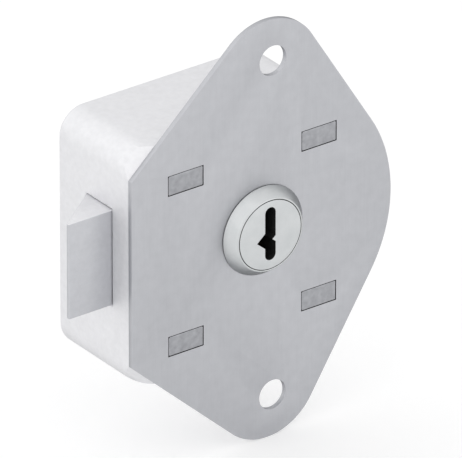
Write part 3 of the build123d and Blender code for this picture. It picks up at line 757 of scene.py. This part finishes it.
for depth in wafer_depths:
    front, back = depth - wafer_thickness / 2 - wafer_play, depth + wafer_thickness / 2 + wafer_play
    slot_half, slot_top = wafer_half + wafer_play, barrel_z + core_radius + past
    wafer_slot = block(
        "wafer_slot", barrel_x - slot_half, barrel_x + slot_half, front, back,
        barrel_z - core_radius - past, slot_top,
    )
    lug_slot = block(
        "lug_slot", barrel_x, barrel_x + wafer_lug + wafer_play, front, back, barrel_z - wafer_play, slot_top
    )
    bpy.ops.mesh.primitive_cylinder_add(
        vertices=32, radius=pocket_radius * MM, depth=pocket_length * MM,
        location=Vector((barrel_x + pocket_x, depth, barrel_z + pocket_floor + pocket_length / 2)) * MM,
    )
    combine(plug, "DIFFERENCE", wafer_slot, lug_slot, settle("pocket"))
screw_bore = core_bar("screw_bore", shank_radius + shank_play, shank_front - near, plug_tail_back + past, 48)
combine(plug, "DIFFERENCE", screw_bore)
close_up(plug)

# Near black for the keyway: painted shade in the deep slot, with some oil.
keyway_oil_and_shade = metal("keyway_oil_and_shade", drawn(26, 26, 27), 0.7, 0.2)
tint(keyway_oil_and_shade, noise(keyway_oil_and_shade, 900), drawn(14, 14, 15), drawn(34, 34, 35))
coat(plug, satin_nickel, keyway_oil_and_shade, seam_dirt_and_shade)
# The keyway's walls and floor take the near black, painted shade with some oil. The ring round the head takes
# the gaps' near-black, painted shade with some dirt.
for face in plug.data.polygons:
    from_axis = math.hypot(face.center.x / MM - barrel_x, face.center.z / MM - barrel_z)
    depth = face.center.y / MM
    keyway_wall = abs(face.normal.y) < 0.3 and from_axis < keyway_reach and depth < keyway_end + near
    keyway_floor = abs(depth - keyway_end) < near
    round_head = from_axis > head_radius - seam_width and nose_front + seam_depth < depth < head_back
    face.material_index = 1 if keyway_wall or keyway_floor else 2 if round_head else 0
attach(plug, "core")
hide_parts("plug")

# Wafers: five tumblers stamped from brass sheet 1 mm thick, each with the key's passage through it and a
# lug on its right side that rests on a spring. The passages differ in height, as the key's cuts do.
wafer_rim, wafer_edge, wafer_lug_height = wafer_solids[0].top - barrel_z, 0.07, 1.2
passage_half, passage_edge, passage_heights = 1.6, 0.3, (9.6, 9.0, 10.0, 9.3, 9.8)
brass_sheet = metal("brass_sheet", (0.58, 0.40, 0.15, 1), 0.32)
tint(brass_sheet, noise(brass_sheet, 800, (1, 1, 0.2)), (0.52, 0.35, 0.12, 1), (0.64, 0.45, 0.18, 1))
gloss(brass_sheet, noise(brass_sheet, 1500), 0.25, 0.42)
relief(brass_sheet, noise(brass_sheet, 3000, (1, 1, 0.1)), 0.15, 0.02)
for number, (depth, height) in enumerate(zip(wafer_depths, passage_heights), start=1):
    front, back = depth - wafer_thickness / 2, depth + wafer_thickness / 2
    wafer = core_bar(f"stamped_wafer_{number}", wafer_rim, front - past, back + past, 128)
    flatten(wafer, wafer_half)
    side_lug = block(
        "side_lug", barrel_x + wafer_half - past, barrel_x + wafer_lug, front - bite, back + bite,
        barrel_z, barrel_z + wafer_lug_height,
    )
    combine(wafer, "UNION", side_lug)
    trim(wafer, (0, front, 0), (0, -1, 0))
    trim(wafer, (0, back, 0), (0, 1, 0))
    passage = block(
        "passage", barrel_x - passage_half, barrel_x + passage_half, front - past, back + past,
        barrel_z - height / 2, barrel_z + height / 2,
    )
    combine(wafer, "DIFFERENCE", round_edges(passage, passage_edge, 3, front_to_back))
    round_edges(wafer, wafer_edge, 2)
    close_up(wafer)
    coat(wafer, brass_sheet)
    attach(wafer, f"tumbler_{number}")
    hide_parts(f"wafer_{number}")


# Wafer springs: wound from steel wire 0.26 mm thick, one in a pocket of the plug beside each wafer. It
# stretches a little when its wafer lifts, its lower end held by the pocket's floor.
def coil_spring(name, length, outer_radius, wire, turns):
    """A spring standing on the origin: a ring of the wire's section wound upward, end turns closed."""
    ring, steps = 14, 40
    closed_pitch = wire * 1.06
    open_pitch = (length - wire - 2 * closed_pitch) / (turns - 2)
    bpy.ops.object.select_all(action="DESELECT")
    bpy.ops.mesh.primitive_circle_add(
        vertices=ring,
        radius=wire / 2 * MM,
        location=((outer_radius - wire / 2) * MM, 0, 0),
        rotation=(math.pi / 2, 0, 0),
    )
    spring = settle(name)
    wind = spring.modifiers.new("wind", "SCREW")
    wind.axis = "Z"
    wind.screw_offset = open_pitch * MM
    wind.iterations = turns
    wind.steps = wind.render_steps = steps
    bpy.ops.object.modifier_apply(modifier=wind.name)
    for index, point in enumerate(spring.data.vertices):
        wound = index // ring / steps
        first, last = min(wound, 1), max(wound - (turns - 1), 0)
        height = closed_pitch * (first + last) + open_pitch * (wound - first - last)
        point.co.z += (wire / 2 + height - wound * open_pitch) * MM
    bpy.ops.object.mode_set(mode="EDIT")
    bpy.ops.mesh.select_mode(type="EDGE")
    bpy.ops.mesh.select_all(action="DESELECT")
    bpy.ops.mesh.select_non_manifold()
    bpy.ops.mesh.fill_holes(sides=0)
    bpy.ops.object.mode_set(mode="OBJECT")
    coat(spring, spring_steel)
    return spring


end_play = 0.05
seat_drop = -pocket_floor - end_play
for number, depth in enumerate(wafer_depths, start=1):
    foot = Vector((barrel_x + pocket_x, depth, barrel_z - seat_drop)) * MM
    wafer_spring = coil_spring(
        f"wafer_coil_{number}", seat_drop - end_play, outer_radius=0.8, wire=0.26, turns=5
    )
    wafer_spring.data.transform(Matrix.Translation(foot))
    close_up(wafer_spring, 60)
    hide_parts(f"wafer_spring_{number}")
    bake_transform(wafer_spring)

# Cam: an arm stamped from plated steel sheet 2 mm thick, keyed on the flats of the plug's tail. Its screw
# has a broad crossed head, which lies in a recess of the cam.
pin_solid = solid("drive_pin")
cam_front, cam_back, stamped_edge = cam_solid.front, cam_solid.back, 0.15
hub_radius, arm_half, tail_play = 5.0, 2.6, 0.05
pin_x, pin_z, pin_radius, pin_play = pin_solid.x, pin_solid.z, pin_solid.right - pin_solid.x, 0.02
recess_depth, recess_radius = 0.9, 3.6
recess_floor = cam_back - recess_depth
screw_head_radius, screw_head_back, screw_head_edge = screw_solid.right - barrel_x, screw_solid.back, 0.3
cross_depth, cross_long, cross_short = 0.5, 2.2, 0.4
cam_cut = (cam_front - past, cam_back + past)
cam = core_bar("cam_arm", hub_radius, cam_front, cam_back)
arm = wrap(
    core_bar("arm", arm_half, cam_front, cam_back, 64),
    bar("arm_end", pin_x, pin_z, arm_half, cam_front, cam_back, 64),
)
tail_hole = core_bar("tail_hole", plug_tail_radius + tail_play, *cam_cut, 64)
flatten(tail_hole, plug_tail_flat + tail_play)
combine(cam, "UNION", arm)
combine(cam, "DIFFERENCE", tail_hole, bar("pin_hole", pin_x, pin_z, pin_radius + pin_play, *cam_cut, 48))
combine(cam, "DIFFERENCE", core_bar("head_recess", recess_radius, recess_floor, cam_back + past))
round_edges(cam, stamped_edge, 2)
close_up(cam)

cam_screw = core_bar("cam_screw_crossed", screw_head_radius, recess_floor, screw_head_back)
round_edges(cam_screw, screw_head_edge, 3, lambda a, b: min(a.y, b.y) > recess_floor + near)
combine(cam_screw, "UNION", core_bar("shank", shank_radius, shank_front, recess_floor + bite, 48))
for wide, high in ((cross_long, cross_short), (cross_short, cross_long)):
    cross = block(
        "cross", barrel_x - wide, barrel_x + wide, screw_head_back - cross_depth, cam_back + past,
        barrel_z - high, barrel_z + high,
    )
    combine(cam_screw, "DIFFERENCE", cross)
close_up(cam_screw)
for piece, node_name in ((cam, "cam"), (cam_screw, "cam_screw")):
    coat(piece, plated_sheet)
    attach(piece, "core")
    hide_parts(node_name)

# Drive pin: cut from drawn steel, its ends rounded over, and pressed into the cam's arm. It passes
# through the slots of the latch's tail and the carriage, and pulls the carriage.
pin_back, pin_edge = pin_solid.back, 0.35
drawn_steel = metal("drawn_steel", drawn(200, 200, 202), 0.25)
gloss(drawn_steel, noise(drawn_steel, 2200, (0.05, 1, 1)), 0.2, 0.3)
relief(drawn_steel, noise(drawn_steel, 2600, (0.03, 1, 1)), 0.06, 0.01)
drive_pin = bar("drive_pin_pressed", pin_x, pin_z, pin_radius, cam_front, pin_back, 64)
round_edges(drive_pin, pin_edge, 4)
close_up(drive_pin)
coat(drive_pin, drawn_steel)
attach(drive_pin, "core")
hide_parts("drive_pin")

# Carriage: stamped and bent up from plated steel sheet. Its four flanges guide the latch's tail, a bracket
# with an eye on each side slides on a guide rod, and its slot and window take the drive pin and the latch
# spring.
carriage_thickness, flange_front = 1.8, 17.8
carriage_front = carriage_back - carriage_thickness
flange_spans = [(carriage_left, -29.05), (-14.9, -11.0)]
eye_left, eye_right, eye_radius, eye_bore = -9.6, -8.1, 2.5, 1.15
neck_half, foot_height = 0.9, 0.5
bracket_feet = [(rod_heights[0] - foot_height, rod_heights[0]), (rod_heights[1], -7.45)]
slide_cut = (flange_front - past, carriage_back + past)
tail_bottom = carriage_bottom + flange_thickness + flange_play
tail_top = carriage_top - flange_thickness - flange_play
slot_play, slot_headroom, slot_web = 0.3, 0.4, 2.0
pin_slot_left, pin_slot_right = pin_x - pin_radius - slot_play, pin_x + pin_radius + slot_play
pin_slot_bottom, pin_slot_top = pin_z - pin_radius - slot_headroom, tail_top - slot_web
spring_strip, spring_room, spring_play = 1.2, 17.0, 0.15
spring_left = latch_root + spring_strip
spring_right, spring_half = spring_left + spring_room, coil_radius + spring_play
spring_bottom, spring_top = latch_coil.z - spring_half, latch_coil.z + spring_half
carriage = block(
    "carriage_slide", carriage_left, carriage_right, carriage_front, carriage_back,
    carriage_bottom, carriage_top,
)
flange_depths = (flange_front, carriage_front + bite)
for low in (carriage_bottom, carriage_top - flange_thickness):
    for left, right in flange_spans:
        flange = block("flange", left, right, *flange_depths, low, low + flange_thickness)
        combine(carriage, "UNION", flange)
eye_cut = (eye_left - past, eye_right + past)
for rod_z, foot_heights in zip(rod_heights, bracket_feet):
    neck = block("neck", eye_left, eye_right, rod_depth, carriage_back, rod_z - neck_half, rod_z + neck_half)
    base = block("base", eye_left, eye_right, flange_front, carriage_back, *foot_heights)
    combine(neck, "UNION", base, rod("eye", rod_depth, rod_z, eye_radius, eye_left, eye_right))
    combine(neck, "DIFFERENCE", rod("eye_bore", rod_depth, rod_z, eye_bore, *eye_cut, 48))
    combine(carriage, "UNION", neck)
pin_slot = block("pin_slot", pin_slot_left, pin_slot_right, *slide_cut, pin_slot_bottom, pin_slot_top)
spring_window = block("spring_window", spring_left, spring_right, *slide_cut, spring_bottom, spring_top)
combine(carriage, "DIFFERENCE", pin_slot, spring_window)
round_edges(carriage, stamped_edge, 2)
close_up(carriage)
coat(carriage, plated_sheet)
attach(carriage, "slide_carriage")
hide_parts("carriage")

# Latch bolt: die-cast in zinc alloy and plated. The head that stands out of the case is flat in front and
# beveled behind, so that a closing door pushes it in. Inside, a root joins it to the flat tail.
latch_tip, latch_edge = latch_solid.left, 0.3
tip_flat, bevel_gap = 0.7, 0.15
root_left, root_bite = inner_left + root_gap, 0.8
tail_left, tail_right = -33.5, latch_solid.right
tail_front, tail_back = flange_front + flange_play, latch_solid.back
ear_left, ear_right, ear_bottom, ear_top = -29, -25, carriage_bottom - ear_overhang, latch_solid.top
tail_slot_left, tail_slot_right = -19.6, -5.8
latch = block("latch_head_and_tail", latch_tip, latch_root, latch_front, latch_back, latch_bottom, latch_top)
bevel_start = Vector((latch_tip, latch_front + tip_flat, 0))
bevel_run = Vector((case_left - bevel_gap, latch_back, 0)) - bevel_start
trim(latch, bevel_start, (-bevel_run.y, bevel_run.x, 0))
round_edges(latch, latch_edge, 4, lambda a, b: min(a.x, b.x) < latch_root - past)
root = block("root", root_left, latch_root, latch_back - root_bite, tail_back, tail_bottom, tail_top)
combine(latch, "UNION", root)
latch_tail = block("latch_tail", tail_left, tail_right, tail_front, tail_back, tail_bottom, tail_top)
ears = block("ears", ear_left, ear_right, tail_front, tail_back, ear_bottom, ear_top)
combine(latch_tail, "UNION", ears)
pin_slot = block("pin_slot", tail_slot_left, tail_slot_right, *slide_cut, pin_slot_bottom, pin_slot_top)
spring_window = block("spring_window", spring_left, spring_right, *slide_cut, spring_bottom, spring_top)
combine(latch_tail, "DIFFERENCE", pin_slot, spring_window)
combine(latch, "UNION", latch_tail)
close_up(latch)

cast_latch = metal("cast_latch", drawn(199, 200, 204), 0.4, edge=0.4)
tint(cast_latch, noise(cast_latch, 900, detail=5.0), drawn(198, 199, 203), drawn(203, 204, 208))
gloss(cast_latch, noise(cast_latch, 1200, (0.15, 1, 1)), 0.38, 0.46)
relief(cast_latch, noise(cast_latch, 2000, detail=4.0), 0.12, 0.015)
coat(latch, cast_latch, cast_zinc)
# The latch's faces that look up or down take the case's pale zinc and the others the greyer latch zinc:
# painted light and shade on one die-cast metal, paler as if lit from above.
for face in latch.data.polygons:
    face.material_index = 1 if abs(face.normal.z) > 0.75 else 0
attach(latch, "latch")
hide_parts("latch_bolt")

# Latch spring: wound from steel wire 0.45 mm thick. It lies in the window that the latch's tail and the
# carriage share, and shortens when the latch is pushed in.
along_x = Matrix.Rotation(math.pi / 2, 4, "Y")
latch_coil_length = spring_right - spring_left - 2 * end_play
latch_spring = coil_spring("latch_coil", latch_coil_length, coil_radius, wire=0.45, turns=9)
latch_place = Vector((spring_left + end_play, latch_coil.y, latch_coil.z)) * MM
latch_spring.data.transform(Matrix.Translation(latch_place) @ along_x)
close_up(latch_spring, 60)
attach(latch_spring, "slide_carriage")
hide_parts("latch_spring")
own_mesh(latch_spring)

# Return springs: wound from steel wire 0.5 mm thick, one on each guide rod between the carriage's eye and the
# saddle wall. They shorten when the key draws the carriage back.
return_coil_length = saddle_left - eye_right - 2 * end_play
for end_name, rod_z in zip(("upper", "lower"), rod_heights):
    return_spring = coil_spring(
        f"return_coil_{end_name}", return_coil_length, outer_radius=2.1, wire=0.5, turns=8
    )
    return_place = Vector((eye_right + end_play, rod_depth, rod_z)) * MM
    return_spring.data.transform(Matrix.Translation(return_place) @ along_x)
    close_up(return_spring, 60)
    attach(return_spring, "housing")
    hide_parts(f"return_spring_{end_name}")
    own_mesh(return_spring)

# Guide rods: turned from drawn steel, with a flat head on the left and a groove for the clip on the right.
# They lie in the saddle wall's slots and carry the carriage.
clips_solid = solid("rod_clips")
rod_head_left, rod_head_radius, rod_head_thickness = rod_solids[0].left, 2.1, 1.2
rod_left, rod_right = rod_head_left + rod_head_thickness, rod_solids[0].right
rod_radius, rod_edge = 1.1, 0.12
groove_play, rod_groove_radius = 0.02, 0.8
rod_groove_left, rod_groove_right = clips_solid.left - groove_play, clips_solid.right + groove_play
for end_name, rod_z in zip(("upper", "lower"), rod_heights):
    guide_rod = rod(f"turned_rod_{end_name}", rod_depth, rod_z, rod_radius, rod_left - bite, rod_right)
    combine(guide_rod, "UNION", rod("rod_head", rod_depth, rod_z, rod_head_radius, rod_head_left, rod_left))
    groove = rod("groove", rod_depth, rod_z, rod_radius + bite, rod_groove_left, rod_groove_right)
    groove_ends = (rod_groove_left - past, rod_groove_right + past)
    combine(groove, "DIFFERENCE", rod("groove_floor", rod_depth, rod_z, rod_groove_radius, *groove_ends))
    combine(guide_rod, "DIFFERENCE", groove)
    round_edges(guide_rod, rod_edge, 2)
    close_up(guide_rod)
    coat(guide_rod, drawn_steel)
    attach(guide_rod, "housing")
    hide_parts(f"guide_rod_{end_name}")

# Rod clips: two E-clips stamped from spring steel 0.6 mm thick, snapped into the grooves of the rods before
# these are laid in the case. Two reliefs in each leave three prongs on the rod.
e_clip_left, e_clip_right, e_clip_edge = clips_solid.left, clips_solid.right, 0.08
e_clip_radius, e_clip_bore, e_clip_mouth = clips_solid.back - rod_depth, 0.82, 0.8
relief_behind, relief_aside, relief_radius = 0.75, 1.0, 0.55
e_clip_cut = (e_clip_left - past, e_clip_right + past)
clips = []
for rod_z in rod_heights:
    rod_clip = rod("rod_clips_stamped", rod_depth, rod_z, e_clip_radius, e_clip_left, e_clip_right)
    mouth = block(
        "mouth", *e_clip_cut, rod_depth - e_clip_radius - past, rod_depth,
        rod_z - e_clip_mouth, rod_z + e_clip_mouth,
    )
    combine(rod_clip, "DIFFERENCE", rod("clip_bore", rod_depth, rod_z, e_clip_bore, *e_clip_cut, 48), mouth)
    for side in (1, -1):
        relief_place = (rod_depth + relief_behind, rod_z + side * relief_aside)
        combine(rod_clip, "DIFFERENCE", rod("relief", *relief_place, relief_radius, *e_clip_cut, 32))
    round_edges(rod_clip, e_clip_edge, 2)
    clips.append(close_up(rod_clip))
bpy.ops.object.select_all(action="DESELECT")
for rod_clip in clips:
    rod_clip.select_set(True)
bpy.context.view_layer.objects.active = clips[0]
bpy.ops.object.join()
coat(clips[0], spring_steel)
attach(clips[0], "housing")
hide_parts("rod_clips")
